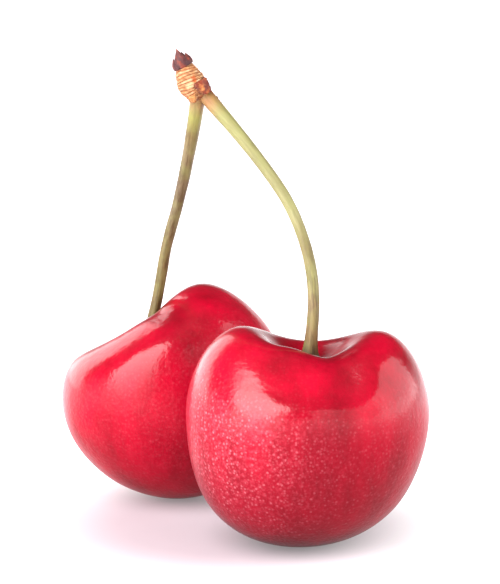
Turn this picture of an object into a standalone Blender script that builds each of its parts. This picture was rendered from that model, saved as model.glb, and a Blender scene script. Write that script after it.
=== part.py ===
"""A pair of sweet cherries on joined stalks, standing on its two fruits.

The mesh is in metres with +Z up. The constants are in millimetres, and MM turns them into metres.
The origin is on the ground under the middle of the pair. +X is to the right and +Y is to the back.
"""

from math import acos, asin, atan2, cos, exp, pi, radians, sin, sqrt

import bmesh
import bpy
from mathutils import Matrix, Vector

MM = 0.001

# Each fruit is a rounded body whose widest section lies "below" above its tip. "belly" fills out
# its lower half and "cheek" the front and back of its upper half. Two shoulders rise beside the
# cavity that the stalk stands in, and a shallow seam runs down its side.
FRONT_FRUIT = {
    "name": "cherry_front",
    "stands_at": (7.4, -9.5),
    "half_width": 13.1,
    "half_depth": 12.2,
    "below": 14.55,
    "above": 9.3,
    "belly": 0.04,
    "cheek": 0.07,
    "shoulder_rise": 7.8,
    "shoulder_lean": 0.0,
    "cavity_depth": 4.3,
    "cavity_half_width": 4.5,
    "cavity_half_depth": 3.75,
    "cavity_shift": 0.0,
    "tip_shift": -1.0,
    "roll": 1.8,
    "pitch": 0.0,
}
BACK_FRUIT = {
    "name": "cherry_back",
    "stands_at": (-7.6, 10.5),
    "half_width": 12.9,
    "half_depth": 11.4,
    "below": 12.9,
    "above": 10.2,
    "belly": -0.02,
    "cheek": 0.03,
    "shoulder_rise": 4.8,
    "shoulder_lean": 3.1,
    "cavity_depth": 8.1,
    "cavity_half_width": 4.9,
    "cavity_half_depth": 3.8,
    "cavity_shift": -1.3,
    "tip_shift": 0.0,
    "roll": -24.2,
    "pitch": -21.3,
}
FRUIT_SEGMENTS = 40
FRUIT_RINGS = 26
SEAM_TURN = -82.0  # degrees from +X, so that the seam faces forwards
SEAM_HALF_ANGLE = 16.0
SEAM_DEPTH = 0.6
GROUND_SINK = 0.2  # how far a fruit settles, which flattens a small round patch under it

# Points that each stalk's middle line passes through, from its fruit up to the spur.
FRONT_STALK_POINTS = (
    (7.6, -9.5, 19.9),
    (8.0, -9.2, 26.9),
    (7.3, -7.6, 31.9),
    (5.2, -5.2, 36.9),
    (1.4, -2.3, 41.9),
    (-3.2, 0.6, 47.0),
)
BACK_STALK_POINTS = (
    (-9.9, 11.7, 14.4),
    (-9.4, 11.0, 23.3),
    (-8.2, 9.4, 29.2),
    (-6.7, 6.8, 35.0),
    (-5.5, 4.2, 40.8),
    (-4.6, 1.9, 46.3),
)
STALK_STEPS = 5  # stretches between two neighbouring points
STALK_RADIUS = 0.56
STALK_FRUIT_FLARE = (0.34, 2.6)  # extra radius at the fruit, and the length over which it fades
STALK_SPUR_FLARE = (0.27, 9.0)

SPUR_FOOT = (-4.2, 1.05, 47.28)
SPUR_TOP = (-6.05, 1.05, 50.76)
SPUR_FOOT_RADIUS = 1.45
SPUR_TOP_RADIUS = 1.08
SPUR_END_ROUNDING = 0.34  # exponent: a smaller one makes the two ends flatter
SCAR_PITCH = 0.72
SCAR_DEPTH = 0.05
SPUR_SEGMENTS = 24
SPUR_RINGS = 30

# turn and spread are degrees around the spur, and rise and radius are foot and tip values.
BUD_SCALES = (
    {"turn": -110, "spread": 52, "rise": (0.15, 2.05), "radius": (1.02, 0.42)},
    {"turn": 5, "spread": 50, "rise": (0.15, 1.45), "radius": (1.02, 0.72)},
    {"turn": 125, "spread": 52, "rise": (0.15, 1.30), "radius": (1.02, 0.66)},
    {"turn": -170, "spread": 58, "rise": (0.20, 1.70), "radius": (0.56, 0.26)},
    {"turn": 10, "spread": 58, "rise": (0.20, 1.50), "radius": (0.56, 0.26)},
)
FLAKE_THICKNESS = 0.14
FLAKE_COLUMNS = 8
FLAKE_ROWS = 6
FLAKE_TIP_SHARE = 0.14  # width left at a flake's tip, as a share of its foot

# The first two bracts wrap the spur above its foot. The third lies along the front stalk.
SPUR_BRACTS = (
    {"turn": -38, "spread": 40, "rise": (1.75, 0.25), "radius": (1.72, 1.86)},
    {"turn": -140, "spread": 30, "rise": (0.95, 0.15), "radius": (1.76, 1.80)},
)
STALK_BRACT = {"turn": 62, "spread": 38, "rise": (-0.35, -2.2), "radius": (1.2, 1.12)}


def clear_scene():
    for old in list(bpy.data.objects):
        bpy.data.objects.remove(old, do_unlink=True)


def make_material(name, color, roughness):
    material = bpy.data.materials.new(name)
    material.use_nodes = True
    shader = material.node_tree.nodes["Principled BSDF"]
    shader.inputs["Base Color"].default_value = (*color, 1.0)
    shader.inputs["Roughness"].default_value = roughness
    shader.inputs["Metallic"].default_value = 0.0
    material.diffuse_color = (*color, 1.0)
    return material


def fruit_skin_material(name):
    return make_material(name, (0.62, 0.01, 0.04), 0.18)


def stalk_material(name):
    return make_material(name, (0.42, 0.38, 0.12), 0.6)


def spur_wood_material():
    return make_material("spur_wood", (0.62, 0.33, 0.13), 0.75)


def dry_scale_material(name):
    return make_material(name, (0.22, 0.05, 0.05), 0.7)


def add_object(name, bm, material):
    mesh = bpy.data.meshes.new(name)
    bm.to_mesh(mesh)
    bm.free()
    mesh.materials.append(material)
    mesh.shade_smooth()
    obj = bpy.data.objects.new(name, mesh)
    bpy.context.scene.collection.objects.link(obj)
    return obj


def smooth_step(low, high, value):
    share = min(max((value - low) / (high - low), 0.0), 1.0)
    return share * share * (3.0 - 2.0 * share)


def fruit_point(unit, fruit):
    """Where a point of the unit sphere lies on the fruit, in millimetres, with the tip at height 0."""
    up = max(unit.z, 0.0)
    down = max(-unit.z, 0.0)
    angle = acos(max(-1.0, min(1.0, -unit.z)))  # 0 at the tip, pi at the stalk
    swell = 1.0 + fruit["belly"] * (sin(2.0 * angle) ** 2 if down else 0.0)
    x = fruit["half_width"] * unit.x * swell
    y = fruit["half_depth"] * unit.y * swell * (1.0 + fruit["cheek"] * 4.0 * up ** 2 * (1.0 - up ** 2))

    height_blend = smooth_step(radians(50.0), radians(130.0), angle)
    half_height = fruit["below"] + (fruit["above"] - fruit["below"]) * height_blend
    z = fruit["below"] + half_height * unit.z * swell
    z += fruit["shoulder_rise"] * (unit.x ** 2 - unit.y ** 2) * up ** 2
    z += fruit["shoulder_lean"] * unit.x * up ** 2
    across = (x / fruit["cavity_half_width"]) ** 2 + (y / fruit["cavity_half_depth"]) ** 2
    z -= fruit["cavity_depth"] * exp(-across) * smooth_step(pi / 2.0, radians(120.0), angle)

    turn = atan2(unit.y, unit.x) - radians(SEAM_TURN)
    turn = atan2(sin(turn), cos(turn))
    seam = SEAM_DEPTH * exp(-((turn / radians(SEAM_HALF_ANGLE)) ** 2)) * sin(angle)
    seam *= smooth_step(radians(20.0), radians(120.0), angle)
    outwards = sqrt(unit.x ** 2 + unit.y ** 2)
    if outwards > 0.0:
        x -= seam * unit.x / outwards
        y -= seam * unit.y / outwards
    z -= seam * up ** 2
    x += fruit["tip_shift"] * down ** 2 + fruit["cavity_shift"] * up ** 2
    return Vector((x, y, z))


def flatten_on_ground(bm):
    """Cuts off what is below the ground and closes the cut with one flat face."""
    everything = bm.verts[:] + bm.edges[:] + bm.faces[:]
    bmesh.ops.bisect_plane(
        bm, geom=everything, plane_co=(0.0, 0.0, 0.0), plane_no=(0.0, 0.0, -1.0), clear_outer=True
    )
    rim = [edge for edge in bm.edges if edge.is_boundary]
    bmesh.ops.contextual_create(bm, geom=rim)


def make_fruit(fruit):
    bm = bmesh.new()
    bmesh.ops.create_uvsphere(bm, u_segments=FRUIT_SEGMENTS, v_segments=FRUIT_RINGS, radius=1.0)
    tilt = Matrix.Rotation(radians(fruit["roll"]), 3, "Y") @ Matrix.Rotation(radians(fruit["pitch"]), 3, "X")
    middle = Vector((0.0, 0.0, fruit["below"]))
    for vert in bm.verts:
        vert.co = tilt @ (fruit_point(vert.co.normalized(), fruit) - middle)
    lowest = min(vert.co.z for vert in bm.verts)
    place = Vector((*fruit["stands_at"], -lowest - GROUND_SINK))
    for vert in bm.verts:
        vert.co = (vert.co + place) * MM
    flatten_on_ground(bm)
    bmesh.ops.recalc_face_normals(bm, faces=bm.faces[:])
    return add_object(fruit["name"], bm, fruit_skin_material(fruit["name"] + "_skin"))


def through_points(points, steps):
    """A Catmull-Rom curve: it passes through every point, and its slope there follows the neighbours."""
    known = [Vector(point) for point in points]
    known = [2.0 * known[0] - known[1], *known, 2.0 * known[-1] - known[-2]]
    curve = []
    for before, start, end, after in zip(known, known[1:], known[2:], known[3:]):
        for step in range(steps):
            t = step / steps
            straight = 2.0 * start + (end - before) * t
            bend = (2.0 * before - 5.0 * start + 4.0 * end - after) * t ** 2
            twist = (3.0 * start - before - 3.0 * end + after) * t ** 3
            curve.append(0.5 * (straight + bend + twist))
    curve.append(known[-2])
    return curve


def stalk_radius(from_fruit, from_spur):
    fruit_flare, fruit_fade = STALK_FRUIT_FLARE
    spur_flare, spur_fade = STALK_SPUR_FLARE
    return STALK_RADIUS + fruit_flare * exp(-from_fruit / fruit_fade) + spur_flare * exp(-from_spur / spur_fade)


def make_stalk(name, points):
    path = through_points(points, STALK_STEPS)
    lengths = [0.0]
    for start, end in zip(path, path[1:]):
        lengths.append(lengths[-1] + (end - start).length)
    curve = bpy.data.curves.new(name, "CURVE")
    curve.dimensions = "3D"
    curve.bevel_depth = STALK_RADIUS * MM
    curve.bevel_resolution = 3
    curve.use_fill_caps = True
    spline = curve.splines.new("POLY")
    spline.points.add(len(path) - 1)
    for point, place, length in zip(spline.points, path, lengths):
        point.co = (*(place * MM), 1.0)
        point.radius = stalk_radius(length, lengths[-1] - length) / STALK_RADIUS
    spline.use_smooth = True
    curve.materials.append(stalk_material(name + "_green"))
    obj = bpy.data.objects.new(name, curve)
    bpy.context.scene.collection.objects.link(obj)
    return obj


def frame_along(origin, direction):
    """A matrix in millimetres whose local Z runs along direction and whose local X leans to world +X."""
    z_axis = Vector(direction).normalized()
    y_axis = z_axis.cross(Vector((1.0, 0.0, 0.0))).normalized()
    x_axis = y_axis.cross(z_axis)
    matrix = Matrix((x_axis, y_axis, z_axis)).transposed().to_4x4()
    return Matrix.Translation(Vector(origin)) @ matrix


def spur_radius(share):
    """The spur's radius at a share of its length from the foot, with its ring scars."""
    length = (Vector(SPUR_TOP) - Vector(SPUR_FOOT)).length
    plain = SPUR_FOOT_RADIUS + (SPUR_TOP_RADIUS - SPUR_FOOT_RADIUS) * share
    return plain + SCAR_DEPTH * cos(2.0 * pi * share * length / SCAR_PITCH)


def make_spur():
    foot = Vector(SPUR_FOOT)
    along = Vector(SPUR_TOP) - foot
    frame = frame_along(foot, along)
    bm = bmesh.new()
    bmesh.ops.create_uvsphere(bm, u_segments=SPUR_SEGMENTS, v_segments=SPUR_RINGS, radius=1.0)
    for vert in bm.verts:
        unit = vert.co.normalized()
        outwards = sqrt(unit.x ** 2 + unit.y ** 2)
        share = 0.5 + asin(max(-1.0, min(1.0, unit.z))) / pi
        radius = spur_radius(share) * outwards ** SPUR_END_ROUNDING
        turn = atan2(unit.y, unit.x)
        local = Vector((radius * cos(turn), radius * sin(turn), share * along.length))
        if outwards < 1e-6:
            local = Vector((0.0, 0.0, share * along.length))
        vert.co = (frame @ local) * MM
    return add_object("spur", bm, spur_wood_material())


def make_flake(name, frame, flake):
    """A thin pointed flake wrapped round the local Z axis: a grid, narrowed to its tip and thickened."""
    start_rise, end_rise = flake["rise"]
    start_radius, end_radius = flake["radius"]
    bm = bmesh.new()
    bmesh.ops.create_grid(bm, x_segments=FLAKE_COLUMNS, y_segments=FLAKE_ROWS, size=1.0)
    for vert in bm.verts:
        side = vert.co.x
        share = 0.5 * (vert.co.y + 1.0)
        width = FLAKE_TIP_SHARE + (1.0 - FLAKE_TIP_SHARE) * sqrt(1.0 - share ** 2)
        turn = radians(flake["turn"] + flake["spread"] * side * width)
        radius = start_radius + (end_radius - start_radius) * share
        local = Vector((radius * cos(turn), radius * sin(turn), start_rise + (end_rise - start_rise) * share))
        vert.co = (frame @ local) * MM
    obj = add_object(name, bm, dry_scale_material(name + "_dry"))
    thicken = obj.modifiers.new("Thickness", "SOLIDIFY")
    thicken.thickness = FLAKE_THICKNESS * MM
    thicken.offset = 0.0
    return obj


def make_bud():
    along = Vector(SPUR_TOP) - Vector(SPUR_FOOT)
    frame = frame_along(SPUR_TOP, along)
    for number, scale in enumerate(BUD_SCALES, start=1):
        make_flake(f"bud_scale_{number}", frame, scale)


def make_bracts():
    spur_frame = frame_along(SPUR_FOOT, Vector(SPUR_TOP) - Vector(SPUR_FOOT))
    for number, bract in enumerate(SPUR_BRACTS, start=1):
        make_flake(f"bract_{number}", spur_frame, bract)
    path = through_points(FRONT_STALK_POINTS, STALK_STEPS)
    stalk_frame = frame_along(path[-1], path[-1] - path[-2])
    make_flake(f"bract_{len(SPUR_BRACTS) + 1}", stalk_frame, STALK_BRACT)


def main():
    clear_scene()
    make_fruit(FRONT_FRUIT)
    make_fruit(BACK_FRUIT)
    make_stalk("stalk_front", FRONT_STALK_POINTS)
    make_stalk("stalk_back", BACK_STALK_POINTS)
    make_spur()
    make_bud()
    make_bracts()


main()
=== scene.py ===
import math

import bpy
import numpy as np
from mathutils import Matrix, Vector


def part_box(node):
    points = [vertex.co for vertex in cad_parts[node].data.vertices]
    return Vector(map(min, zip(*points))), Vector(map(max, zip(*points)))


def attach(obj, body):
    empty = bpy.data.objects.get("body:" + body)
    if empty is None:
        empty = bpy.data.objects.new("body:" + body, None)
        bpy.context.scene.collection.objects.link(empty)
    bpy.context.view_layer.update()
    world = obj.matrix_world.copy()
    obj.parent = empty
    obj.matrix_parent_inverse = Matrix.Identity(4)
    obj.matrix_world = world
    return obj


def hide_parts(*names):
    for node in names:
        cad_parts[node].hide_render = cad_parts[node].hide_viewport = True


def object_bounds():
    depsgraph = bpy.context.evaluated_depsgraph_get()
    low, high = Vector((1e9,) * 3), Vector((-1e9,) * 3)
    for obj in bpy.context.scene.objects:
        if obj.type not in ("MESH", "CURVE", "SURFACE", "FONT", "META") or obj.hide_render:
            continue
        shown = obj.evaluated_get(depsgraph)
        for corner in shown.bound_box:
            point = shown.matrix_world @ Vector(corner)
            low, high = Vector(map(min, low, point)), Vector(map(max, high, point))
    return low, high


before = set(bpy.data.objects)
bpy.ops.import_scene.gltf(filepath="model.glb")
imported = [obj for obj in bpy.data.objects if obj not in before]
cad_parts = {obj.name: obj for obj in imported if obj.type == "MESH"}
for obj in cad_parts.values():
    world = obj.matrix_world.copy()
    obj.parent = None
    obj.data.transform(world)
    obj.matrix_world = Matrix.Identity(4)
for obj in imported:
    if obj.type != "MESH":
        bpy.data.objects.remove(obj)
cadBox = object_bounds()

mm = 0.001  # sizes below are in millimetres, and the mesh is in metres


def linear(hexColour):
    # sRGB hex to linear light: below 0.04045 a straight line, above it a power of 2.4
    parts = [int(hexColour[i:i + 2], 16) / 255 for i in (1, 3, 5)]
    return [p / 12.92 if p <= 0.04045 else ((p + 0.055) / 1.055) ** 2.4 for p in parts] + [1.0]


def addNode(tree, kind, inputs=None, stops=None, **settings):
    # inputs gives a socket, by name or number, a value or another node's output; a ramp's stops are
    # (place, colour) pairs, and the settings are the node's own
    node = tree.nodes.new(kind)
    for name, value in settings.items():
        setattr(node, name, value)
    for socket, value in (inputs or {}).items():
        if isinstance(value, bpy.types.NodeSocket):
            tree.links.new(value, node.inputs[socket])
        else:
            node.inputs[socket].default_value = value
    if stops:
        ramp = node.color_ramp
        while len(ramp.elements) < len(stops):
            ramp.elements.new(0.5)
        for element, (place, colour) in zip(ramp.elements, stops):
            element.position = place
            element.color = linear(colour)
    return node


def newMaterial(name):
    material = bpy.data.materials.new(name)
    material.use_nodes = True
    tree = material.node_tree
    return material, tree, tree.nodes["Principled BSDF"]


def smoothStep(low, high, value):
    share = np.clip((value - low) / (high - low), 0, 1)
    return share * share * (3 - 2 * share)


def ripple(seed, *angles):
    # gentle unevenness between -1 and 1: a sum of eight sine waves with seeded directions and phases
    draw = np.random.default_rng(seed)
    total = 0
    for wave in range(8):
        phase = draw.uniform(0, 2 * np.pi)
        reach = sum(np.round(draw.uniform(1, 3.5)) * angle * draw.choice((-1, 1)) for angle in angles)
        total = total + np.sin(reach + phase)
    return total / 8


def closedMesh(name, rings, material, uvSize=(1, 1), values=None):
    # rings is rows x columns x 3 in millimetres; every row closes on itself, and a fan closes each end
    rows, columns = rings.shape[:2]
    ends = np.stack((rings[0].mean(axis=0), rings[-1].mean(axis=0)))
    points = np.concatenate((rings.reshape(-1, 3), ends)) * mm
    row, column = (a.ravel() for a in np.meshgrid(np.arange(rows - 1), np.arange(columns), indexing="ij"))
    after = (column + 1) % columns
    quads = np.stack((row * columns + column, row * columns + after,
                      (row + 1) * columns + after, (row + 1) * columns + column), axis=1)
    here = np.arange(columns)
    following = (here + 1) % columns
    last = (rows - 1) * columns
    foot = np.stack((np.full(columns, rows * columns), following, here), axis=1)
    top = np.stack((np.full(columns, rows * columns + 1), last + here, last + following), axis=1)
    mesh = bpy.data.meshes.new(name)
    mesh.from_pydata(points.tolist(), [], quads.tolist() + foot.tolist() + top.tolist())
    mesh.polygons.foreach_set("use_smooth", np.ones(len(mesh.polygons), bool))
    across = np.concatenate((np.stack((column, column + 1, column + 1, column), axis=1).ravel(),
                             np.stack((here + 0.5, here + 1, here), axis=1).ravel(),
                             np.stack((here + 0.5, here, here + 1), axis=1).ravel())) / columns
    along = np.concatenate((np.stack((row, row, row + 1, row + 1), axis=1).ravel(),
                            np.zeros(3 * columns), np.full(3 * columns, rows - 1))) / (rows - 1)
    uv = mesh.uv_layers.new(name="surface")
    corners = np.stack((across * uvSize[0], along * uvSize[1]), axis=1)
    uv.data.foreach_set("uv", corners.astype(np.float32).ravel())
    for label, value in (values or {}).items():
        value = np.broadcast_to(value, (rows, columns))
        value = np.concatenate((value.ravel(), [value[0].mean(), value[-1].mean()])).astype(np.float32)
        mesh.attributes.new(label, "FLOAT", "POINT").data.foreach_set("value", value)
    mesh.materials.append(material)
    mesh.update()
    piece = bpy.data.objects.new(name, mesh)
    bpy.context.scene.collection.objects.link(piece)
    return piece


def handOver(piece, node):
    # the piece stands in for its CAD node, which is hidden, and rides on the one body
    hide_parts(node)
    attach(piece, "root")


# A long lens that looks slightly down on the object, and the pale card that it stands on.
studio = {
    "aim": (1.2, -5.95, 27.0),       # mm, the point the camera looks at
    "cameraDistance": 320.0,         # mm
    "cameraElevation": 11.5,         # degrees above the horizon
    "lens": 182.5,                   # mm, on a sensor 36 mm high
    "floorSize": 6.0,                # metres
    "floorTones": ("#A8979F", "#AE9DA5"),
    "floorGrain": 6.7,               # mm, the card's faint unevenness
    "floorRoughness": 0.6,
    # The card glows with painted light, which whitens it and hides the cast shadows. Each glow is x and y of
    # its middle in mm, the radii where it starts and ends, and its strength at both. A disc under the object
    # glows less, painted shade round where it stands, and a second glow paints a bright pool of light by the
    # key.
    "glows": ((-1.5, -2.5, 11.0, 28.0, 0.2, 1.1), (-110.0, -95.0, 100.0, 35.0, 0.0, 6.0)),
}

# Azimuth 0 is behind the object, 90 to its right, 180 on the camera's side and 270 to its left. Each panel
# stands on the floor between two azimuths, "away" metres off, and reaches up to the elevation "top". It leans
# "lean" degrees towards the azimuth "leanTo".
lightPanels = (
    {"name": "keyPanel", "shape": "RECTANGLE", "from": 198, "to": 254, "top": 79, "away": 0.60,
     "lean": 0, "leanTo": 0, "brightness": 3.4},
    {"name": "keyCore", "shape": "ELLIPSE", "from": 203, "to": 251, "top": 65, "away": 0.59,
     "lean": 20, "leanTo": 47, "brightness": 4.2},
    {"name": "rightPanel", "shape": "RECTANGLE", "from": 52, "to": 117, "top": 74, "away": 0.60,
     "lean": 12, "leanTo": 129, "brightness": 2.7},
    {"name": "rightFill", "shape": "RECTANGLE", "from": 117, "to": 163, "top": 72, "away": 0.60,
     "lean": 10, "leanTo": 129, "brightness": 1.3},
)
room = {
    "walls": 0.06,               # brightness of the unlit room
    "ceiling": 0.18,
    "horizon": 1.2,              # brightness of the pale band where the floor ends
    "horizonTop": 0.34,          # sine of the elevation at which the band has faded out
    "sheet": 3.2,                # brightness of the white sheet behind the object
    "sheetAzimuth": 15,          # the way from the object to the sheet's middle
    "sheetSlope": 1.66,          # the sheet's height over its distance
    "sheetRightEnd": 338,        # the azimuth where the sheet ends
}


def addCamera():
    tilt = math.radians(studio["cameraElevation"])
    aim = Vector(studio["aim"]) * mm
    away = studio["cameraDistance"] * mm
    data = bpy.data.cameras.new("camera")
    data.sensor_fit = "VERTICAL"
    data.sensor_height = 36.0
    data.lens = studio["lens"]
    data.clip_start = 0.01
    data.clip_end = 50.0
    camera = bpy.data.objects.new("camera", data)
    camera.location = aim + away * Vector((0, -math.cos(tilt), math.sin(tilt)))
    camera.rotation_euler = (math.pi / 2 - tilt, 0, 0)
    bpy.context.scene.collection.objects.link(camera)
    bpy.context.scene.camera = camera


def compass(azimuth):
    return Vector((math.sin(math.radians(azimuth)), math.cos(math.radians(azimuth)), 0))


def addPanel(panel, aim):
    # an area light's energy is its brightness times pi times its area
    outward = compass((panel["from"] + panel["to"]) / 2)
    upright = Vector((0, 0, 1)) * math.cos(math.radians(panel["lean"]))
    upright += compass(panel["leanTo"]) * math.sin(math.radians(panel["lean"]))
    facing = (outward - outward.dot(upright) * upright).normalized()
    sideways = upright.cross(facing)
    width = 2 * panel["away"] * math.tan(math.radians(panel["to"] - panel["from"]) / 2)
    height = panel["away"] * math.tan(math.radians(panel["top"]))
    data = bpy.data.lights.new(panel["name"], "AREA")
    data.shape = panel["shape"]
    data.size, data.size_y = width, height
    data.energy = panel["brightness"] * math.pi * width * height
    lamp = bpy.data.objects.new(panel["name"], data)
    lamp.rotation_euler = Matrix((sideways, upright, facing)).transposed().to_euler()
    lamp.location = aim + panel["away"] * outward + upright * height / 2
    bpy.context.scene.collection.objects.link(lamp)


def addRoom():
    # the room's light depends on the direction: dim walls, a brighter ceiling, a pale horizon, and a lit
    # sheet wherever the direction is under its top edge and before its end
    world = bpy.data.worlds.new("room")
    bpy.context.scene.world = world
    world.use_nodes = True
    tree = world.node_tree
    place = addNode(tree, "ShaderNodeTexCoord")
    height = addNode(tree, "ShaderNodeSeparateXYZ", {0: place.outputs["Generated"]})
    ceiling = addNode(tree, "ShaderNodeMapRange", {
        "Value": height.outputs["Z"], "From Min": 0.90, "From Max": 1.0,
        "To Min": room["walls"], "To Max": room["ceiling"]}, interpolation_type="SMOOTHSTEP")
    horizon = addNode(tree, "ShaderNodeMapRange", {
        "Value": height.outputs["Z"], "From Min": 0.03, "From Max": room["horizonTop"],
        "To Min": room["horizon"], "To Max": 0.0}, interpolation_type="SMOOTHSTEP")
    middle = compass(room["sheetAzimuth"]) * -room["sheetSlope"]
    overTop = addNode(tree, "ShaderNodeVectorMath", {
        0: place.outputs["Generated"], 1: (middle.x, middle.y, 1.0)}, operation="DOT_PRODUCT")
    underTop = addNode(tree, "ShaderNodeMapRange", {
        "Value": overTop.outputs["Value"], "From Min": -0.10, "From Max": 0.06, "To Min": 1.0, "To Max": 0.0},
        interpolation_type="SMOOTHSTEP")
    end = compass(room["sheetRightEnd"] + 90)
    pastEnd = addNode(tree, "ShaderNodeVectorMath", {
        0: place.outputs["Generated"], 1: (end.x, end.y, 0.0)}, operation="DOT_PRODUCT")
    beforeEnd = addNode(tree, "ShaderNodeMapRange", {
        "Value": pastEnd.outputs["Value"], "From Min": -0.06, "From Max": 0.03,
        "To Min": room["sheet"], "To Max": 0.0}, interpolation_type="SMOOTHSTEP")
    level = addNode(tree, "ShaderNodeMath", {
        0: underTop.outputs[0], 1: beforeEnd.outputs[0]}, operation="MULTIPLY")
    for other in (horizon, ceiling):
        level = addNode(tree, "ShaderNodeMath", {
            0: level.outputs[0], 1: other.outputs[0]}, operation="MAXIMUM")
    tree.links.new(level.outputs[0], tree.nodes["Background"].inputs["Strength"])
    tree.nodes["Background"].inputs["Color"].default_value = linear("#FFFFFF")


def addFloor():
    half = studio["floorSize"] / 2
    mesh = bpy.data.meshes.new("floor")
    corners = ((-half, -half, 0), (half, -half, 0), (half, half, 0), (-half, half, 0))
    mesh.from_pydata(corners, [], [(0, 1, 2, 3)])
    material, tree, shader = newMaterial("matteWhiteCard")
    place = addNode(tree, "ShaderNodeTexCoord")
    grain = addNode(tree, "ShaderNodeTexNoise", {
        "Vector": place.outputs["Object"], "Scale": 1000 / studio["floorGrain"], "Detail": 3.0})
    tone = addNode(tree, "ShaderNodeValToRGB", {"Fac": grain.outputs["Fac"]},
                   stops=((0.0, studio["floorTones"][0]), (1.0, studio["floorTones"][1])))
    tree.links.new(tone.outputs["Color"], shader.inputs["Base Color"])
    # painted light: the card glows, less in a disc under the object as painted shade, and most in a painted
    # pool by the key
    glows = []
    for x, y, startRadius, endRadius, startGlow, endGlow in studio["glows"]:
        reach = addNode(tree, "ShaderNodeVectorMath", {
            0: place.outputs["Object"], 1: (x * mm, y * mm, 0)}, operation="DISTANCE")
        glows.append(addNode(tree, "ShaderNodeMapRange", {
            "Value": reach.outputs["Value"], "From Min": startRadius * mm, "From Max": endRadius * mm,
            "To Min": startGlow, "To Max": endGlow}, interpolation_type="SMOOTHSTEP"))
    glow = addNode(tree, "ShaderNodeMath", {0: glows[0].outputs[0], 1: glows[1].outputs[0]})
    tree.links.new(glow.outputs[0], shader.inputs["Emission Strength"])
    shader.inputs["Emission Color"].default_value = linear("#FFFFFF")
    shader.inputs["Roughness"].default_value = studio["floorRoughness"]
    shader.inputs["Specular IOR Level"].default_value = 0.25
    mesh.materials.append(material)
    floor = bpy.data.objects.new("floor", mesh)
    bpy.context.scene.collection.objects.link(floor)


addCamera()
underObject = (cadBox[0] + cadBox[1]) / 2
underObject.z = 0
for panel in lightPanels:
    addPanel(panel, underObject)
addRoom()
addFloor()
bpy.context.scene.view_settings.view_transform = "Standard"
print("stage: camera, light panels, room and floor")


# Lengths are in mm. The lenticels are drawn a little coarser than real ones, which wouldn't show.
cherrySkin = {
    "deep": "#860015",
    "bright": "#B00023",
    "streak": "#9C0A22",
    # painted sheen: the colour that the cheek facing the key is mixed towards
    "pale": "#CC4458",
    "dot": "#E67C88",
    "mottle": "#D64A5C",
    "hollow": "#A60A22",      # in the cavity, where lipShade darkens it as painted shade
    "sheenCheek": (-4.0, -17.5, 12.0),  # the middle of the cheek facing the key, painted paler as a sheen
    "sheenReach": (4.0, 16.0), # distances from there where the painted sheen starts to fade and has faded
    "sheenStrength": 0.10,
    "blushSize": 4.5,
    "blushStretch": 0.35,     # stretches the blush from the tip to the stalk
    "grainSize": 0.4,
    "dimpleSize": 1.6,
    "dotSpacing": 0.38,
    "dotRadius": 0.12,
    "streakCount": 210,       # fine streaks round the fruit
    "body": 0.34,             # roughness of the skin under the wax
    "ior": 1.42,
    "waxIor": 1.39,
}

# Lengths in mm, angles in degrees. The widest section lies "below" above the tip and "above" under the stalk
# end. The seam faces forwards: seamTurns gives its turn from +X at the widest section and at the rim. tone
# scales how bright the whole skin is, footShade how bright the tip stays under the painted shade that
# darkens the skin towards it, dots is how strongly the lenticels show, and gloss is the wax's roughness.
frontFruit = {
    "node": "cherry_front", "halfWidth": 13.1, "halfDepth": 12.2, "below": 14.55, "above": 9.3,
    "belly": 0.04, "cheek": 0.07, "shoulderRise": 7.8, "shoulderLean": 0.0,
    "cavityDepth": 4.3, "cavityHalfWidth": 4.5, "cavityHalfDepth": 3.75, "cavityShift": 0.0,
    "tipShift": -1.0, "roll": 1.8, "pitch": 0.0, "seamTurns": (-79.0, -62.0),
    "lip": {"x": -1.6, "y": -4.0, "halfWidth": 2.6, "halfDepth": 2.4, "rise": 0.9},
    "gloss": 0.14, "tone": 1.02, "footShade": 0.24, "dots": 0.70,
}
backFruit = {
    "node": "cherry_back", "halfWidth": 12.9, "halfDepth": 11.4, "below": 12.9, "above": 10.2,
    "belly": -0.02, "cheek": 0.03, "shoulderRise": 4.8, "shoulderLean": 3.1,
    "cavityDepth": 8.1, "cavityHalfWidth": 4.9, "cavityHalfDepth": 3.8, "cavityShift": -1.3,
    "tipShift": 0.0, "roll": -24.2, "pitch": -21.3, "seamTurns": (-62.0, -62.0),
    "lip": {"x": 0.0, "y": -4.0, "halfWidth": 2.0, "halfDepth": 2.0, "rise": 0.0},
    "gloss": 0.07, "tone": 0.95, "footShade": 0.66, "dots": 0.40,
}
fruitGrid = {"columns": 360, "rows": 250}
seam = {"halfAngle": 16.0, "depth": 0.6}
groundSink = 0.02  # mm, how far the fruits settle on their undersides


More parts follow.
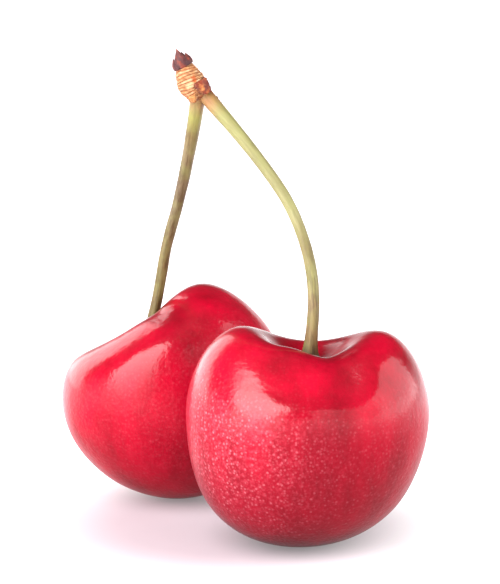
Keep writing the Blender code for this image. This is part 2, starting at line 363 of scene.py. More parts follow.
def fruitRings(fruit):
    # turn goes once round the fruit and angle goes from its tip (0) to its stalk (pi). A ball is scaled to
    # the fruit's half sizes, swollen in its lower half by sin(2 angle) squared, lifted into two shoulders by
    # (x squared - y squared) towards the stalk and sunk there by a bell-shaped cavity, whose front lip is a
    # raised bell. The seam pulls it in by a bell across its line, and the tip and the cavity move sideways.
    turn = np.linspace(0, 2 * np.pi, fruitGrid["columns"], endpoint=False)[None, :]
    angle = np.linspace(0, np.pi, fruitGrid["rows"])[:, None]
    unitX, unitY = np.sin(angle) * np.cos(turn), np.sin(angle) * np.sin(turn)
    unitZ = -np.cos(angle) + 0 * turn
    up, down = np.maximum(unitZ, 0), np.maximum(-unitZ, 0)
    swell = 1 + fruit["belly"] * np.where(unitZ < 0, np.sin(2 * angle) ** 2, 0)
    x = fruit["halfWidth"] * unitX * swell
    y = fruit["halfDepth"] * unitY * swell * (1 + fruit["cheek"] * 4 * up ** 2 * (1 - up ** 2))
    blend = smoothStep(math.radians(50), math.radians(130), angle)
    halfHeight = fruit["below"] + (fruit["above"] - fruit["below"]) * blend
    z = fruit["below"] + halfHeight * unitZ * swell
    z += fruit["shoulderRise"] * (unitX ** 2 - unitY ** 2) * up ** 2 + fruit["shoulderLean"] * unitX * up ** 2
    across = (x / fruit["cavityHalfWidth"]) ** 2 + (y / fruit["cavityHalfDepth"]) ** 2
    upper = smoothStep(math.pi / 2, math.radians(120), angle)
    cavity = np.exp(-across) * upper
    z -= fruit["cavityDepth"] * cavity
    lip = fruit["lip"]
    fromLip = ((x - lip["x"]) / lip["halfWidth"]) ** 2 + ((y - lip["y"]) / lip["halfDepth"]) ** 2
    z += lip["rise"] * np.exp(-fromLip) * upper
    equator, rim = (math.radians(t) for t in fruit["seamTurns"])
    fromSeam = turn - equator - (rim - equator) * smoothStep(math.radians(95), math.radians(150), angle)
    fromSeam = np.arctan2(np.sin(fromSeam), np.cos(fromSeam))
    groove = seam["depth"] * np.exp(-(fromSeam / math.radians(seam["halfAngle"])) ** 2) * np.sin(angle)
    groove = groove * smoothStep(math.radians(20), math.radians(120), angle)
    x -= groove * np.cos(turn)
    y -= groove * np.sin(turn)
    z -= groove * up ** 2
    x += fruit["tipShift"] * down ** 2 + fruit["cavityShift"] * up ** 2
    rings = np.stack((x, y, z), axis=-1)
    stalkward = angle / math.pi + 0 * turn
    return rings, {"cavity": cavity, "groove": groove / seam["depth"], "stalkward": stalkward}


def standFruit(rings, fruit):
    # leans the fruit about its widest section, sets its middle on its CAD node's middle and stands it on the
    # floor, with its underside flattened there
    roll, pitch = math.radians(fruit["roll"]), math.radians(fruit["pitch"])
    aboutX = np.array((
        (1, 0, 0), (0, math.cos(pitch), -math.sin(pitch)), (0, math.sin(pitch), math.cos(pitch))))
    aboutY = np.array(((math.cos(roll), 0, math.sin(roll)), (0, 1, 0), (-math.sin(roll), 0, math.cos(roll))))
    rings = (rings - (0, 0, fruit["below"])) @ (aboutY @ aboutX).T
    low, high = (np.array(corner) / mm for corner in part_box(fruit["node"]))
    middle = (rings.min(axis=(0, 1)) + rings.max(axis=(0, 1))) / 2
    rings = rings + (low + high) / 2 - middle
    rings[..., 2] += -groundSink - rings[..., 2].min()
    rings[..., 2] = np.maximum(rings[..., 2], 0)
    return rings


def waxyCherrySkin(fruit):
    # Skin of a ripe sweet cherry: taut and naturally waxed, so lamps show in it sharply over a hazier red
    # glow. Its blush goes from deep to bright red, pale lenticels and fine mottling dot the lower half and
    # the cheek facing the key, which is also painted paler as a sheen, and fine streaks run from the stalk to
    # the tip. Painted shade darkens the skin towards the tip, in the seam's groove and round and in the cavity.
    # The wax thins out towards the tip and in the cavity.
    material, tree, shader = newMaterial("waxyCherrySkin_" + fruit["node"])
    place = addNode(tree, "ShaderNodeTexCoord")
    surface = addNode(tree, "ShaderNodeUVMap", uv_map="surface")
    cavity = addNode(tree, "ShaderNodeAttribute", attribute_name="cavity")
    stalkward = addNode(tree, "ShaderNodeAttribute", attribute_name="stalkward")
    tall = addNode(tree, "ShaderNodeMapping", {
        "Vector": place.outputs["Object"], "Scale": (1.0, 1.0, cherrySkin["blushStretch"])})
    blush = addNode(tree, "ShaderNodeTexNoise", {
        "Vector": tall.outputs[0], "Scale": 1000 / cherrySkin["blushSize"], "Detail": 4.0, "Roughness": 0.6})
    ground = addNode(tree, "ShaderNodeValToRGB", {"Fac": blush.outputs["Fac"]},
                     stops=((0.34, cherrySkin["deep"]), (0.64, cherrySkin["bright"])))
    stretched = addNode(tree, "ShaderNodeMapping", {
        "Vector": surface.outputs["UV"], "Scale": (cherrySkin["streakCount"], 14.0, 1.0)})
    streaks = addNode(tree, "ShaderNodeTexNoise", {
        "Vector": stretched.outputs[0], "Scale": 1.0, "Detail": 2.0})
    streakShare = addNode(tree, "ShaderNodeMapRange", {
        "Value": streaks.outputs["Fac"], "From Min": 0.35, "From Max": 0.75, "To Min": 0.0, "To Max": 0.35})
    streaked = addNode(tree, "ShaderNodeMix", {
        0: streakShare.outputs[0], 6: ground.outputs["Color"],
        7: linear(cherrySkin["streak"])}, data_type="RGBA")
    dots = addNode(tree, "ShaderNodeTexVoronoi", {
        "Vector": place.outputs["Object"], "Scale": 1000 / cherrySkin["dotSpacing"]})
    dotEdge = cherrySkin["dotRadius"] / cherrySkin["dotSpacing"]
    dotShape = addNode(tree, "ShaderNodeMapRange", {
        "Value": dots.outputs["Distance"], "From Min": dotEdge * 0.3, "From Max": dotEdge * 1.7,
        "To Min": 1.0, "To Max": 0.0}, interpolation_type="SMOOTHSTEP")
    dotChance = addNode(tree, "ShaderNodeSeparateColor", {0: dots.outputs["Color"]})
    dotKept = addNode(tree, "ShaderNodeMapRange", {
        "Value": dotChance.outputs[0], "From Min": 0.1, "From Max": 1.0,
        "To Min": 0.0, "To Max": fruit["dots"]})
    dotZone = addNode(tree, "ShaderNodeMapRange", {
        "Value": stalkward.outputs["Fac"], "From Min": 0.68, "From Max": 0.50, "To Min": 0.10, "To Max": 1.0})
    # painted sheen: the skin is paler round the cheek facing the key, where the real lenticels and mottling
    # also show most
    fromSheenCheek = addNode(tree, "ShaderNodeVectorMath", {
        0: place.outputs["Object"], 1: [c * mm for c in cherrySkin["sheenCheek"]]}, operation="DISTANCE")
    fullSheen, noSheen = (reach * mm for reach in cherrySkin["sheenReach"])
    sheenSide = addNode(tree, "ShaderNodeMapRange", {
        "Value": fromSheenCheek.outputs["Value"], "From Min": fullSheen, "From Max": noSheen,
        "To Min": 1.0, "To Max": 0.2})
    dotsAndSheenPart = addNode(tree, "ShaderNodeMath", {
        0: sheenSide.outputs[0], 1: dotZone.outputs[0]}, operation="MULTIPLY")
    dotAmount = addNode(tree, "ShaderNodeMath", {
        0: dotShape.outputs[0], 1: dotKept.outputs[0]}, operation="MULTIPLY")
    dotAmount = addNode(tree, "ShaderNodeMath", {
        0: dotAmount.outputs[0], 1: dotsAndSheenPart.outputs[0]}, operation="MULTIPLY")
    grain = addNode(tree, "ShaderNodeTexNoise", {
        "Vector": place.outputs["Object"], "Scale": 1000 / cherrySkin["grainSize"], "Detail": 2.5,
        "Roughness": 0.6})
    mottleShare = addNode(tree, "ShaderNodeMapRange", {
        "Value": grain.outputs["Fac"], "From Min": 0.46, "From Max": 0.68, "To Min": 0.0, "To Max": 0.48})
    mottleAmount = addNode(tree, "ShaderNodeMath", {
        0: mottleShare.outputs[0], 1: dotsAndSheenPart.outputs[0]}, operation="MULTIPLY")
    sheenAmount = addNode(tree, "ShaderNodeMath", {
        0: dotsAndSheenPart.outputs[0], 1: cherrySkin["sheenStrength"]}, operation="MULTIPLY")
    sheenMixed = addNode(tree, "ShaderNodeMix", {
        0: sheenAmount.outputs[0], 6: streaked.outputs[2], 7: linear(cherrySkin["pale"])}, data_type="RGBA")
    mottled = addNode(tree, "ShaderNodeMix", {
        0: mottleAmount.outputs[0], 6: sheenMixed.outputs[2], 7: linear(cherrySkin["mottle"])}, data_type="RGBA")
    dotted = addNode(tree, "ShaderNodeMix", {
        0: dotAmount.outputs[0], 6: mottled.outputs[2], 7: linear(cherrySkin["dot"])}, data_type="RGBA")
    # the skin in the cavity turns to the hollow colour, which lipShade below darkens as painted shade
    shade = addNode(tree, "ShaderNodeMapRange", {
        "Value": cavity.outputs["Fac"], "From Min": 0.25, "From Max": 1.0, "To Min": 0.0, "To Max": 0.6})
    finished = addNode(tree, "ShaderNodeMix", {
        0: shade.outputs[0], 6: dotted.outputs[2], 7: linear(cherrySkin["hollow"])}, data_type="RGBA")
    # painted shade: the skin darkens towards the tip, on the underside that faces the floor
    lowShade = addNode(tree, "ShaderNodeMapRange", {
        "Value": stalkward.outputs["Fac"], "From Min": 0.13, "From Max": 0.56,
        "To Min": fruit["footShade"], "To Max": 1.0})
    # painted shade in the seam's groove
    groove = addNode(tree, "ShaderNodeAttribute", attribute_name="groove")
    grooveShade = addNode(tree, "ShaderNodeMapRange", {
        "Value": groove.outputs["Fac"], "From Min": 0.0, "From Max": 1.0, "To Min": 1.0, "To Max": 0.62})
    # painted shade round the cavity's lip and inside it; tone scales the whole skin
    lipShade = addNode(tree, "ShaderNodeMapRange", {
        "Value": cavity.outputs["Fac"], "From Min": 0.0, "From Max": 0.12, "To Min": fruit["tone"],
        "To Max": fruit["tone"] * 0.66})
    shading = addNode(tree, "ShaderNodeMath", {
        0: lowShade.outputs[0], 1: grooveShade.outputs[0]}, operation="MULTIPLY")
    shading = addNode(tree, "ShaderNodeMath", {
        0: shading.outputs[0], 1: lipShade.outputs[0]}, operation="MULTIPLY")
    shaded = addNode(tree, "ShaderNodeVectorMath", {
        0: finished.outputs[2], "Scale": shading.outputs[0]}, operation="SCALE")
    tree.links.new(shaded.outputs[0], shader.inputs["Base Color"])
    dimples = addNode(tree, "ShaderNodeTexNoise", {
        "Vector": place.outputs["Object"], "Scale": 1000 / cherrySkin["dimpleSize"], "Detail": 3.0,
        "Roughness": 0.5})
    grainHeight = addNode(tree, "ShaderNodeMath", {
        0: grain.outputs["Fac"], 1: dotZone.outputs[0]}, operation="MULTIPLY")
    relief = addNode(tree, "ShaderNodeMath", {
        0: grainHeight.outputs[0], 1: 0.55, 2: dimples.outputs["Fac"]}, operation="MULTIPLY_ADD")
    bump = addNode(tree, "ShaderNodeBump", {
        "Height": relief.outputs[0], "Strength": 0.22, "Distance": 0.3 * mm})
    tree.links.new(bump.outputs[0], shader.inputs["Normal"])
    tree.links.new(bump.outputs[0], shader.inputs["Coat Normal"])
    shader.inputs["Roughness"].default_value = cherrySkin["body"]
    shader.inputs["IOR"].default_value = cherrySkin["ior"]
    shader.inputs["Specular IOR Level"].default_value = 0.09
    wax = addNode(tree, "ShaderNodeMapRange", {
        "Value": stalkward.outputs["Fac"], "From Min": 0.46, "From Max": 0.62, "To Min": 0.12, "To Max": 1.0},
        interpolation_type="SMOOTHSTEP")
    outside = addNode(tree, "ShaderNodeMapRange", {
        "Value": cavity.outputs["Fac"], "From Min": 0.32, "From Max": 0.60, "To Min": 1.0, "To Max": 0.12})
    wax = addNode(tree, "ShaderNodeMath", {0: wax.outputs[0], 1: outside.outputs[0]}, operation="MULTIPLY")
    tree.links.new(wax.outputs[0], shader.inputs["Coat Weight"])
    shader.inputs["Coat Roughness"].default_value = fruit["gloss"]
    shader.inputs["Coat IOR"].default_value = cherrySkin["waxIor"]
    return material


for fruit in (frontFruit, backFruit):
    rings, values = fruitRings(fruit)
    rings = standFruit(rings, fruit)
    piece = closedMesh(fruit["node"] + "_fruit", rings, waxyCherrySkin(fruit), values=values)
    handOver(piece, fruit["node"])
print("fruits: two waxy cherries with seams and cavities")


# points are the middle line in mm, from inside the fruit up to the spur, as the CAD stalk runs. tones are
# colours along the stalk, and up to the share fibrousTo its brown fibres are strong.
frontStalk = {
    "node": "stalk_front", "seed": 5, "columns": 48,
    "points": ((7.45, -9.5, 18.7), (7.5, -9.48, 19.9), (8.0, -9.2, 26.9), (7.3, -7.6, 31.9),
               (5.2, -5.2, 36.9), (1.4, -2.3, 41.9), (-3.2, 0.6, 47.0), (-3.75, 0.92, 47.6)),
    "fibrousTo": 0.36,
    "tones": ((0.10, "#785F3A"), (0.22, "#7E6B46"), (0.30, "#847D4F"), (0.40, "#746742"), (0.50, "#878257"),
              (0.70, "#7E7A4C"), (0.80, "#807C4C"), (0.90, "#87844E"), (0.945, "#8C6E40"), (0.98, "#8A4E26")),
}
backStalk = {
    "node": "stalk_back", "seed": 6, "columns": 48,
    "points": ((-10.4, 11.75, 13.2), (-10.5, 11.65, 17.5), (-9.27, 11.0, 23.3), (-8.2, 9.4, 29.2),
               (-6.7, 6.8, 35.0), (-5.5, 4.2, 40.8), (-4.6, 1.9, 46.3), (-4.4, 1.5, 47.3)),
    "fibrousTo": 0.84,
    "tones": ((0.08, "#6A5432"), (0.30, "#6C5C38"), (0.45, "#6F5F3D"), (0.60, "#685842"), (0.74, "#645338"),
              (0.82, "#726242"), (0.88, "#746438"), (0.935, "#878440"), (0.97, "#8E7248"), (1.0, "#8A5630")),
}
# Lengths in mm. A flare is how much wider the stalk is at that end, and its fade is how far that reaches.
stalkShape = {
    "radius": 0.56, "fruitFlare": 0.40, "fruitFade": 1.4, "swell": 0.07, "swellFade": 9.0, "spurFlare": 0.27,
    "spurFade": 9.0, "step": 0.12, "sunk": 1.9, "disc": 0.12, "discFade": 0.35,
    "ribs": 5, "ribDepth": 0.04, "bumps": 0.04, "fineBumps": 0.02,  # the last three are shares of the radius
}
stalkSkin = {
    "fibre": "#46331A",
    "blotch": "#7C7C45",
    "foot": "#2A170A",           # painted shade: the dark ring where the stalk enters the fruit
    "fibresAcross": 3.4,         # fibres in a mm across the stalk
    "fibresAlong": 0.45,         # and in a mm along it
    "blotchSize": 1.8,           # mm
    "footShadeEdge": (0.100, 0.052),  # shares of the length between which the painted shade darkens the foot
    "roughness": 0.5,
    "ior": 1.40,
}


def curveThrough(points, step):
    # Catmull-Rom: between two points the curve is a cubic whose slope at each follows its neighbours
    known = np.array(points, float)
    known = np.concatenate(([2 * known[0] - known[1]], known, [2 * known[-1] - known[-2]]))
    spans = len(points) - 1
    count = int(np.linalg.norm(np.diff(known[1:-1], axis=0), axis=1).sum() / step)
    at = np.linspace(0, spans - 1e-9, count)
    i = at.astype(int)
    t = (at - i)[:, None]
    before, start, end, after = known[i], known[i + 1], known[i + 2], known[i + 3]
    return 0.5 * (2 * start + (end - before) * t + (2 * before - 5 * start + 4 * end - after) * t ** 2
                  + (3 * start - before - 3 * end + after) * t ** 3)


def carry(path, profile):
    # carries a profile along a path: profile is rows x columns x 2, its first value sideways and its second
    # forwards, in a frame squared up from the path's direction and the world's Y
    ahead = np.gradient(path, axis=0)
    ahead /= np.linalg.norm(ahead, axis=1, keepdims=True)
    side = np.cross((0.0, 1.0, 0.0), ahead)
    side /= np.linalg.norm(side, axis=1, keepdims=True)
    other = np.cross(ahead, side)
    return path[:, None] + profile[..., :1] * side[:, None] + profile[..., 1:] * other[:, None]


def stalkRings(stalk):
    # a round section carried along the middle line: its radius grows towards both ends by fading exponentials
    # and at the fruit by a small disc, and a cosine round it gives soft ribs that wander along the stalk
    path = curveThrough(stalk["points"], stalkShape["step"])
    lengths = np.concatenate(([0], np.cumsum(np.linalg.norm(np.diff(path, axis=0), axis=1))))
    fromFruit, fromSpur = lengths - stalkShape["sunk"], lengths[-1] - lengths
    turn = np.pi / 2 + np.linspace(0, 2 * np.pi, stalk["columns"], endpoint=False)[None, :]
    outside = np.maximum(fromFruit, 0)
    radius = (stalkShape["radius"] + stalkShape["swell"] * np.exp(-outside / stalkShape["swellFade"])
              + stalkShape["fruitFlare"] * np.exp(-outside / stalkShape["fruitFade"])
              + stalkShape["disc"] * np.exp(-(fromFruit / stalkShape["discFade"]) ** 2)
              + stalkShape["spurFlare"] * np.exp(-fromSpur / stalkShape["spurFade"]))[:, None]
    wander = 2 * np.pi * lengths[:, None] / lengths[-1]
    radius = radius * (1 + stalkShape["ribDepth"] * np.cos(stalkShape["ribs"] * turn + 0.8 * wander)
                       + stalkShape["bumps"] * ripple(stalk["seed"], turn, 3 * wander)
                       + stalkShape["fineBumps"] * ripple(stalk["seed"] + 1, 3 * turn, 9 * wander))
    rings = carry(path, np.stack((radius * np.cos(turn), radius * np.sin(turn)), axis=-1))
    return rings, lengths


def freshStalkSkin(stalk):
    # Skin of a fresh cherry stalk: smooth and only slightly waxy, yellow-green to olive, with brown
    # lengthwise fibres that show as fine streaks. Its foot is darkened by painted shade where it enters the
    # fruit.
    material, tree, shader = newMaterial("freshStalkSkin_" + stalk["node"])
    surface = addNode(tree, "ShaderNodeUVMap", uv_map="surface")
    place = addNode(tree, "ShaderNodeTexCoord")
    along = addNode(tree, "ShaderNodeAttribute", attribute_name="along")
    ground = addNode(tree, "ShaderNodeValToRGB", {"Fac": along.outputs["Fac"]}, stops=stalk["tones"])
    stretched = addNode(tree, "ShaderNodeMapping", {
        "Vector": surface.outputs["UV"], "Scale": (stalkSkin["fibresAcross"], stalkSkin["fibresAlong"], 1.0)})
    fibres = addNode(tree, "ShaderNodeTexNoise", {
        "Vector": stretched.outputs[0], "Scale": 1.0, "Detail": 4.0, "Roughness": 0.6})
    fibreShare = addNode(tree, "ShaderNodeMapRange", {
        "Value": fibres.outputs["Fac"], "From Min": 0.44, "From Max": 0.58, "To Min": 0.0, "To Max": 0.75})
    fibrous = addNode(tree, "ShaderNodeMapRange", {
        "Value": along.outputs["Fac"], "From Min": stalk["fibrousTo"] - 0.1,
        "From Max": stalk["fibrousTo"] + 0.1, "To Min": 1.0, "To Max": 0.3})
    fibreShare = addNode(tree, "ShaderNodeMath", {
        0: fibreShare.outputs[0], 1: fibrous.outputs[0]}, operation="MULTIPLY")
    streaked = addNode(tree, "ShaderNodeMix", {
        0: fibreShare.outputs[0], 6: ground.outputs["Color"],
        7: linear(stalkSkin["fibre"])}, data_type="RGBA")
    blotch = addNode(tree, "ShaderNodeTexNoise", {
        "Vector": place.outputs["Object"], "Scale": 1000 / stalkSkin["blotchSize"], "Detail": 3.0})
    blotchShare = addNode(tree, "ShaderNodeMapRange", {
        "Value": blotch.outputs["Fac"], "From Min": 0.42, "From Max": 0.66, "To Min": 0.0, "To Max": 0.4})
    blotched = addNode(tree, "ShaderNodeMix", {
        0: blotchShare.outputs[0], 6: streaked.outputs[2], 7: linear(stalkSkin["blotch"])}, data_type="RGBA")
    # painted shade at the foot, where the stalk sinks into the fruit's cavity
    footShadeStart, footShadeFull = stalkSkin["footShadeEdge"]
    footShadeShare = addNode(tree, "ShaderNodeMapRange", {
        "Value": along.outputs["Fac"], "From Min": footShadeStart, "From Max": footShadeFull,
        "To Min": 0.0, "To Max": 0.9})
    finished = addNode(tree, "ShaderNodeMix", {
        0: footShadeShare.outputs[0], 6: blotched.outputs[2], 7: linear(stalkSkin["foot"])}, data_type="RGBA")
    tree.links.new(finished.outputs[2], shader.inputs["Base Color"])
    bump = addNode(tree, "ShaderNodeBump", {
        "Height": fibres.outputs["Fac"], "Strength": 0.6, "Distance": 0.08 * mm})
    tree.links.new(bump.outputs[0], shader.inputs["Normal"])
    shader.inputs["Roughness"].default_value = stalkSkin["roughness"]
    shader.inputs["IOR"].default_value = stalkSkin["ior"]
    return material


for stalk in (frontStalk, backStalk):
    rings, lengths = stalkRings(stalk)
    girth = 2 * math.pi * stalkShape["radius"]  # with it, a unit on the UV map is a mm on the stalk
    piece = closedMesh(stalk["node"] + "_skin", rings, freshStalkSkin(stalk), uvSize=(girth, lengths[-1]),
                       values={"along": (lengths / lengths[-1])[:, None]})
    handOver(piece, stalk["node"])
print("stalks: two ribbed stalks")


# Lengths in mm. girth is the radius at shares of the length, and lean moves the spur's middle sideways.
spur = {
    "foot": (-4.2, 1.05, 47.28), "top": (-6.05, 1.05, 50.76), "columns": 200, "rows": 240,
    "girth": ((0.0, 1.36), (0.2, 1.50), (0.5, 1.56), (0.8, 1.33), (1.0, 1.12)),
    "lean": -0.16, "overlap": 0.15,
    "scarPitch": 0.32, "crossingPitch": 0.48, "scarDepth": 0.06, "bigKnots": 0.12, "smallKnots": 0.10,
}
# Oval marks on the front of the spur: a pale leaf scar and a rusty spot. turn is in degrees, and share is the
# place along the spur.
spurMarks = {
    "leafScar": {"turn": 264, "halfTurn": 24, "share": 0.46, "halfShare": 0.10, "colour": "#BB9C74"},
    "rustSpot": {"turn": 293, "halfTurn": 13, "share": 0.56, "halfShare": 0.09, "colour": "#A8480F"},
}
spurBark = {
    # folds to crests: the bark's own tones, with painted shade in the folds and a painted highlight on the
    # crests
    "folds": "#642E12", "slopes": "#8C5730", "ridges": "#A57B50", "crests": "#B59A7C",
    "patch": "#9E5A26",
    "old": "#6E3212",          # the foot, where the oldest bark is
    "patchSize": 0.8,          # mm
}


def localFrame(origin, ahead):
    # local Z runs ahead and local X leans to the world's X
    zAxis = np.array(ahead, float) / np.linalg.norm(ahead)
    yAxis = np.cross(zAxis, (1.0, 0.0, 0.0))
    yAxis /= np.linalg.norm(yAxis)
    return np.array(origin, float), np.stack((np.cross(yAxis, zAxis), yAxis, zAxis))


def placed(local, frameOf):
    origin, axes = frameOf
    return origin + local @ axes


def spurRings():
    # a knuckle whose radius follows the girth points; its ring scars are sines without their sign, with sharp
    # folds between them, which lean, merge and cross as slow ripples shift them; two more ripples knot it
    length = np.linalg.norm(np.subtract(spur["top"], spur["foot"]))
    turn = np.linspace(0, 2 * np.pi, spur["columns"], endpoint=False)[None, :]
    rise = np.linspace(-np.pi / 2, np.pi / 2, spur["rows"])[:, None]
    share = 0.5 + 0.5 * np.sin(rise) * (0.75 + 0.25 * np.abs(np.sin(rise)))
    places, girths = zip(*spur["girth"])
    plain = np.interp(share, places, girths)
    shift = 0.40 * np.cos(turn - 0.9) + 0.30 * ripple(11, turn, 2 * rise)
    fold = np.abs(np.sin(np.pi * (share * length / spur["scarPitch"] + 2.2 * shift)))
    shift = 0.35 * np.cos(turn + 1.2) + 0.40 * ripple(15, turn, 2 * rise)
    crossing = np.abs(np.sin(np.pi * (share * length / spur["crossingPitch"] + 2.2 * shift)))
    scar = np.minimum(fold, 0.30 + 0.7 * crossing) ** 0.6 * (0.75 + 0.25 * ripple(17, 4 * turn, 5 * rise))
    radius = plain + spur["scarDepth"] * (2.4 * scar - 1.4)
    radius = radius + spur["bigKnots"] * ripple(12, 2 * turn, 3 * rise)
    radius = radius + spur["smallKnots"] * ripple(18, 3 * turn, 5 * rise)
    radius = radius * np.cos(rise) ** 0.3  # rounds both ends off
    local = np.stack((radius * np.cos(turn) + spur["lean"] * np.sin(np.pi * share), radius * np.sin(turn),
                      share * (length + 2 * spur["overlap"]) - spur["overlap"] + 0 * turn), axis=-1)
    frameOf = localFrame(spur["foot"], np.subtract(spur["top"], spur["foot"]))
    marks = {name: 1 - ((turn % (2 * np.pi) - np.radians(mark["turn"])) / np.radians(mark["halfTurn"])) ** 2
             - ((share - mark["share"]) / mark["halfShare"]) ** 2 for name, mark in spurMarks.items()}
    return placed(local, frameOf), {"scar": scar, "share": share + 0 * turn, **marks}


def wrinkledSpurBark():
    # Bark of a young fruiting spur: thin tan cork pushed into rings by old bud scars, dull and dry. Its colour
    # follows the relief: orange-brown in the folds, deepened there by painted shade, and cream on the ridges,
    # lightened on the crests by a painted highlight.
    material, tree, shader = newMaterial("wrinkledSpurBark")
    place = addNode(tree, "ShaderNodeTexCoord")
    scar = addNode(tree, "ShaderNodeAttribute", attribute_name="scar")
    share = addNode(tree, "ShaderNodeAttribute", attribute_name="share")
    # painted shade and highlight: the colour runs with the relief from the folds' dark to the crests' cream
    tones = addNode(tree, "ShaderNodeValToRGB", {"Fac": scar.outputs["Fac"]},
                    stops=((0.15, spurBark["folds"]), (0.38, spurBark["slopes"]), (0.62, spurBark["ridges"]),
                           (0.88, spurBark["crests"])))
    patches = addNode(tree, "ShaderNodeTexNoise", {
        "Vector": place.outputs["Object"], "Scale": 1000 / spurBark["patchSize"], "Detail": 4.0,
        "Roughness": 0.6})
    patchShare = addNode(tree, "ShaderNodeMapRange", {
        "Value": patches.outputs["Fac"], "From Min": 0.45, "From Max": 0.66, "To Min": 0.0, "To Max": 0.75})
    tinted = addNode(tree, "ShaderNodeMix", {
        0: patchShare.outputs[0], 6: tones.outputs["Color"], 7: linear(spurBark["patch"])}, data_type="RGBA")
    for name, mark in spurMarks.items():
        oval = addNode(tree, "ShaderNodeAttribute", attribute_name=name)
        raggedMark = addNode(tree, "ShaderNodeMath", {
            0: patches.outputs["Fac"], 1: 1.6, 2: oval.outputs["Fac"]}, operation="MULTIPLY_ADD")
        markShare = addNode(tree, "ShaderNodeMapRange", {
            "Value": raggedMark.outputs[0], "From Min": 0.80, "From Max": 1.50, "To Min": 0.0, "To Max": 0.8})
        tinted = addNode(tree, "ShaderNodeMix", {
            0: markShare.outputs[0], 6: tinted.outputs[2], 7: linear(mark["colour"])}, data_type="RGBA")
    ageShare = addNode(tree, "ShaderNodeMapRange", {
        "Value": share.outputs["Fac"], "From Min": 0.28, "From Max": 0.02, "To Min": 0.0, "To Max": 0.7})
    finished = addNode(tree, "ShaderNodeMix", {
        0: ageShare.outputs[0], 6: tinted.outputs[2], 7: linear(spurBark["old"])}, data_type="RGBA")
    tree.links.new(finished.outputs[2], shader.inputs["Base Color"])
    bump = addNode(tree, "ShaderNodeBump", {
        "Height": patches.outputs["Fac"], "Strength": 0.7, "Distance": 0.12 * mm})
    tree.links.new(bump.outputs[0], shader.inputs["Normal"])
    shader.inputs["Roughness"].default_value = 0.62
    shader.inputs["IOR"].default_value = 1.45
    return material


rings, values = spurRings()
piece = closedMesh("spur_bark", rings, wrinkledSpurBark(), values=values)
handOver(piece, "spur")
print("spur: wrinkled knuckle")


# Bud scales are pointed leaves round the spur's top. turn and spread are degrees round it at the foot, radius
# is the foot's, and tip is where the point is, all in mm in the spur's own frame with its origin at the top.
budScales = {
    "bud_scale_1": {"turn": -100, "spread": 58, "radius": 1.00, "tip": (0.20, -0.30, 2.00), "bulge": 0.22},
    "bud_scale_2": {"turn": -12, "spread": 62, "radius": 1.06, "tip": (0.84, -0.10, 1.22), "bulge": 0.20},
    "bud_scale_3": {"turn": 95, "spread": 66, "radius": 1.00, "tip": (0.10, 0.40, 1.55), "bulge": 0.22},
    "bud_scale_4": {"turn": -172, "spread": 56, "radius": 1.08, "tip": (-0.62, -0.15, 1.30), "bulge": 0.20},
    "bud_scale_5": {"turn": 40, "spread": 60, "radius": 0.72, "tip": (0.50, 0.20, 1.45), "bulge": 0.15},
}
# Bracts are torn flakes. rise and radius are values in mm at the foot and the tip. The first two wrap the
# spur's foot, and the last one the end of the front stalk.
bracts = {
    "bract_1": {"turn": -48, "spread": 42, "rise": (1.75, 0.10), "radius": (1.56, 1.66), "torn": 0.25,
                "seed": 30, "paper": "tornBract"},
    "bract_2": {"turn": -128, "spread": 34, "rise": (0.75, -0.12), "radius": (1.42, 1.30), "torn": 0.25,
                "seed": 31, "paper": "dryTanBract"},
    "bract_3": {"turn": 62, "spread": 38, "rise": (0.10, -2.0), "radius": (1.15, 0.98), "torn": 0.15,
                "seed": 40, "paper": "tornBract"},
}
flakeShape = {"thickness": 0.10, "columns": 64, "rows": 80, "sunk": 0.15}
# Colours from a flake's foot to its tip, the colour of its worn spots, and where the spots' pattern starts.
papers = {
    "dryBudScale": {"tones": ("#3E1518", "#45181A", "#552420"), "spot": "#7E3018", "shift": 0.0},
    "tornBract": {"tones": ("#82300E", "#5A1808", "#7A2C0C"), "spot": "#B06A34", "shift": 4.0},
    "dryTanBract": {"tones": ("#A06A36", "#A06A36", "#8A5426"), "spot": "#B08050", "shift": 7.0},
}
paperSkin = {"edge": "#2E1012", "spotSize": 0.6, "roughness": 0.6, "ior": 1.45}  # the size in mm


def lens():
    # once round a flat lens-shaped section and along its length, with the unit side and thickness offsets
    around = np.linspace(0, 2 * np.pi, flakeShape["columns"], endpoint=False)[None, :]
    share = np.linspace(0, 1, flakeShape["rows"])[:, None]
    return share, np.cos(around) + 0 * share, np.sin(around) + 0 * share


def scaleRings(scale, frameOf, seed):
    # a pointed leaf wrapped on a cone: every row is an arc round the spur that slides to the tip and shrinks
    # with the share to the power 1.5, bellied outwards by a half sine, with rippled edges and a keeled face
    share, side, thick = lens()
    closing = share ** 1.5
    jag = 1 + 0.10 * ripple(seed, 6 * share * np.pi, 0 * share)
    turn = np.radians(scale["turn"] + scale["spread"] * side * jag)
    veins = 0.02 * np.cos(14 * side) + 0.03 * ripple(seed + 1, 3 * side, 5 * share)
    radius = scale["radius"] + scale["bulge"] * np.sin(np.pi * share) + veins
    radius = radius + thick * flakeShape["thickness"] * (0.35 + 0.65 * (1 - share)) / 2
    footX, footY = radius * np.cos(turn), radius * np.sin(turn)
    tipX, tipY, tipZ = scale["tip"]
    local = np.stack((footX + (tipX - footX) * closing, footY + (tipY - footY) * closing,
                      (tipZ + flakeShape["sunk"]) * share - flakeShape["sunk"]
                      - 0.25 * side ** 2 * share * (1 - share)), axis=-1)
    return placed(local, frameOf), {"tipward": share + 0 * side, "edge": np.abs(side)}


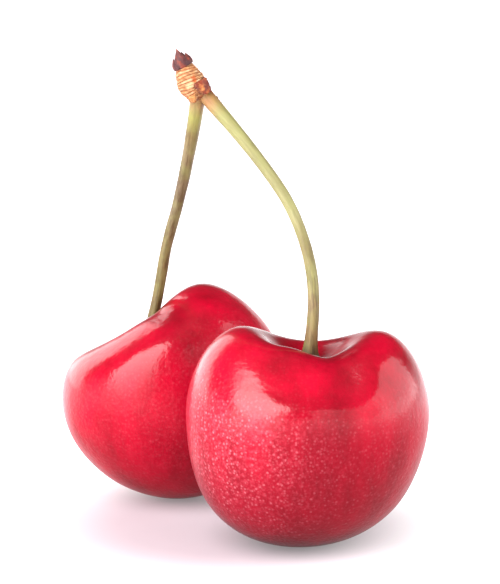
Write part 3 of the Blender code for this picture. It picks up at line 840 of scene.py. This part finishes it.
def bractRings(flake, frameOf):
    # a flake wrapped round a stem: its width falls as a root towards the tip, and ripples tear its edges
    seed, torn = flake["seed"], flake["torn"]
    share, side, thick = lens()
    width = 0.12 + 0.88 * np.sqrt(1 - share ** 2)
    width = width * (1 + torn * ripple(seed, 5 * share * np.pi, np.sign(side))
                     + torn * ripple(seed + 5, 2 * share * np.pi, np.sign(side)))
    startRise, endRise = flake["rise"]
    startRadius, endRadius = flake["radius"]
    turn = np.radians(flake["turn"] + flake["spread"] * side * width)
    curl = 0.06 * ripple(seed + 1, 3 * np.pi * share, 2 * turn) + 0.04 * np.cos(9 * side + 4 * share)
    radius = startRadius + (endRadius - startRadius) * share + curl + thick * flakeShape["thickness"] / 2
    rise = startRise + (endRise - startRise) * share * (1 + torn * 0.5 * ripple(seed + 2, 6 * turn))
    local = np.stack((radius * np.cos(turn), radius * np.sin(turn), rise), axis=-1)
    if endRise < startRise:
        # a hanging flake runs down its frame, so its columns are turned round to face outwards
        local, side = local[:, ::-1], side[:, ::-1]
    return placed(local, frameOf), {"tipward": share + 0 * side, "edge": np.abs(side)}


def deadScale(name, paper):
    # Dead scale tissue, dried on the spur: papery, darker along its edges and with worn spots, dull all over.
    material, tree, shader = newMaterial(name)
    foot, middle, tip = paper["tones"]
    place = addNode(tree, "ShaderNodeTexCoord")
    tipward = addNode(tree, "ShaderNodeAttribute", attribute_name="tipward")
    edge = addNode(tree, "ShaderNodeAttribute", attribute_name="edge")
    tones = addNode(tree, "ShaderNodeValToRGB", {"Fac": tipward.outputs["Fac"]},
                    stops=((0.0, foot), (0.5, middle), (1.0, tip)))
    spots = addNode(tree, "ShaderNodeTexNoise", {
        "Vector": place.outputs["Object"], "Scale": 1000 / paperSkin["spotSize"], "Detail": 4.0,
        "W": paper["shift"]}, noise_dimensions="4D")
    spotShare = addNode(tree, "ShaderNodeMapRange", {
        "Value": spots.outputs["Fac"], "From Min": 0.46, "From Max": 0.64, "To Min": 0.0, "To Max": 0.9})
    spotted = addNode(tree, "ShaderNodeMix", {
        0: spotShare.outputs[0], 6: tones.outputs["Color"], 7: linear(paper["spot"])}, data_type="RGBA")
    edgeShare = addNode(tree, "ShaderNodeMapRange", {
        "Value": edge.outputs["Fac"], "From Min": 0.55, "From Max": 1.0, "To Min": 0.0, "To Max": 0.6})
    finished = addNode(tree, "ShaderNodeMix", {
        0: edgeShare.outputs[0], 6: spotted.outputs[2], 7: linear(paperSkin["edge"])}, data_type="RGBA")
    tree.links.new(finished.outputs[2], shader.inputs["Base Color"])
    bump = addNode(tree, "ShaderNodeBump", {
        "Height": spots.outputs["Fac"], "Strength": 0.7, "Distance": 0.1 * mm})
    tree.links.new(bump.outputs[0], shader.inputs["Normal"])
    shader.inputs["Roughness"].default_value = paperSkin["roughness"]
    shader.inputs["IOR"].default_value = paperSkin["ior"]
    return material


spurLine = np.subtract(spur["top"], spur["foot"])
topFrame = localFrame(spur["top"], spurLine)
footFrame = localFrame(spur["foot"], spurLine)
beforeEnd, stalkEnd = np.array(frontStalk["points"][5:7])
stalkFrame = localFrame(stalkEnd, stalkEnd - beforeEnd)
bractFrames = {"bract_1": footFrame, "bract_2": footFrame, "bract_3": stalkFrame}
materials = {name: deadScale(name, paper) for name, paper in papers.items()}
for seed, (node, flake) in enumerate(budScales.items(), 20):
    rings, values = scaleRings(flake, topFrame, seed)
    handOver(closedMesh(node + "_paper", rings, materials["dryBudScale"], values=values), node)
for node, flake in bracts.items():
    rings, values = bractRings(flake, bractFrames[node])
    handOver(closedMesh(node + "_paper", rings, materials[flake["paper"]], values=values), node)
print("flakes: five bud scales and three bracts")
